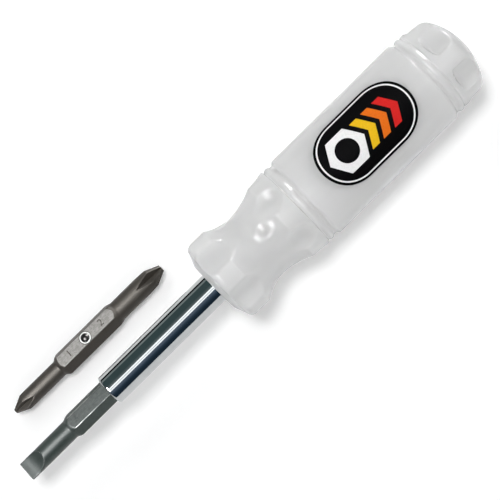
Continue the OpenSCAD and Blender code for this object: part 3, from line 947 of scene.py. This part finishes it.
def ball_steel():
    """Dark polished steel with faint smears."""
    look = Look("ball_steel")
    dark, light = BALL_SHADES
    smear = look.noise(look.place, scale=700)
    look.set(Metallic=1.0, Base_Color=look.ramp(smear, (0.3, dark), (0.7, light)))
    look.set(Roughness=look.ramp(smear, (0.3, 0.26), (0.7, 0.34)))
    return look.material


def dress(node, material):
    """Gives a CAD node that stays in view its material."""
    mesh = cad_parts[node].data
    mesh.materials.clear()
    mesh.materials.append(material)


# Camera, lights and surroundings

def view_matrix(right, up, back, place):
    """The matrix that puts a camera or a light in its place, looking away from its back."""
    return Matrix([(right[k], up[k], back[k], place[k]) for k in range(3)] + [(0, 0, 0, 1)])


def make_camera():
    """The view from above and in front, with the driver slanting across the picture."""
    tilt = math.radians(CAMERA_ELEVATION)
    along = Vector((1, 0, 0))
    aside = Vector((0, math.sin(tilt), math.cos(tilt)))
    back = Vector((0, -math.cos(tilt), math.sin(tilt)))
    right = along * math.cos(PICTURE_TURN) - aside * math.sin(PICTURE_TURN)
    up = along * math.sin(PICTURE_TURN) + aside * math.cos(PICTURE_TURN)
    target = Vector((DRIVER.start + TARGET_ALONG, DRIVER.y, DRIVER.z)) + aside * TARGET_ASIDE
    data = bpy.data.cameras.new("camera")
    data.angle = 2 * math.atan(IMAGE_PIXELS / 2 * PIXEL / CAMERA_DISTANCE)
    data.clip_start = CAMERA_NEAR
    camera = add_object("camera", data)
    camera.matrix_world = view_matrix(right, up, back, target + back * CAMERA_DISTANCE)
    bpy.context.scene.camera = camera


def area_light(name, tilt, height, distance, size, power, lit):
    """A rectangular light that faces the part, tilted towards the butt and raised from the front.

    A matt light fills the scene and leaves no reflection, and a gloss light is only seen reflected.
    """
    tilt, height = math.radians(tilt), math.radians(height)
    way = Vector((math.sin(tilt), -math.cos(tilt) * math.cos(height), math.cos(tilt) * math.sin(height)))
    across = Vector((1, 0, 0)) - way * way.x
    across.normalize()
    data = bpy.data.lights.new(name, "AREA")
    data.shape = "RECTANGLE"
    data.size, data.size_y = size
    data.energy = power
    light = add_object(name, data)
    light.matrix_world = view_matrix(across, way.cross(across), way, way * distance)
    light.visible_glossy = lit != "matt"
    light.visible_diffuse = lit != "gloss"


def make_floor():
    """Pale paper, which looks white to the camera and in reflections and keeps the part's shadow."""
    half = FLOOR_HALF
    corners = [(-half, -half, 0), (half, -half, 0), (half, half, 0), (-half, half, 0)]
    floor = new_piece("floor", corners, [(0, 1, 2, 3)], smooth=False)
    look = Look("floor_paper")
    path = look.node("LightPath").outputs
    seen = look.math("MAXIMUM", path["Is Camera Ray"], path["Is Glossy Ray"])
    seen = look.math("MAXIMUM", seen, path["Is Transmission Ray"])
    look.set(Base_Color=(FLOOR_TONE, FLOOR_TONE, FLOOR_TONE, 1), Roughness=0.9, Specular_IOR_Level=0.0)
    look.set(Emission_Color=(1, 1, 1, 1), Emission_Strength=look.math("MULTIPLY", seen, FLOOR_GLOW))
    floor.data.materials.append(look.material)


def make_world():
    """A dim studio: a white glow that lights matt surfaces, and dark walls that polished metal shows."""
    world = bpy.data.worlds.new("studio")
    world.use_nodes = True
    nodes = Nodes(world.node_tree)
    way = nodes.node("TexCoord").outputs["Generated"]
    x, y, z = nodes.node("SeparateXYZ", inputs={"Vector": way}).outputs
    height = nodes.math("ARCTAN2", z, nodes.math("MULTIPLY", y, -1.0))
    stops = [(degrees / 180, colour) for degrees, colour in WALLS]
    walls = nodes.ramp(nodes.math("DIVIDE", height, math.pi), *stops)
    sides = nodes.math("SUBTRACT", 1.0, nodes.math("MULTIPLY", x, x))
    glow = nodes.math("MULTIPLY", sides, MATT_GLOW)
    matt = nodes.node("LightPath").outputs["Is Diffuse Ray"]
    nodes.feed(nodes.tree.nodes["Background"].inputs["Color"], nodes.mix(matt, walls, glow))
    bpy.context.scene.world = world


bpy.context.scene.view_settings.view_transform = "Standard"
make_camera()
make_floor()
make_world()
for light in LIGHTS:
    area_light(*light)

make_handle(handle_plastic())
make_print()
make_slotted_bit(bit_steel("grey_bit_steel", SLOTTED, **GREY_STEEL))
make_cross_bit(bit_steel("brown_bit_steel", CROSS, **BROWN_STEEL))

wire = spring_wire()
ball = ball_steel()
dress("shaft_tube", plated_tube())
dress("retaining_ring", wire)
dress("slotted_bit_ball", ball)
dress("phillips_bit_ball", ball)
make_spring("slotted_spring_coil", "slotted_bit_spring", "slotted", wire)
make_spring("cross_spring_coil", "phillips_bit_spring", "phillips", wire)
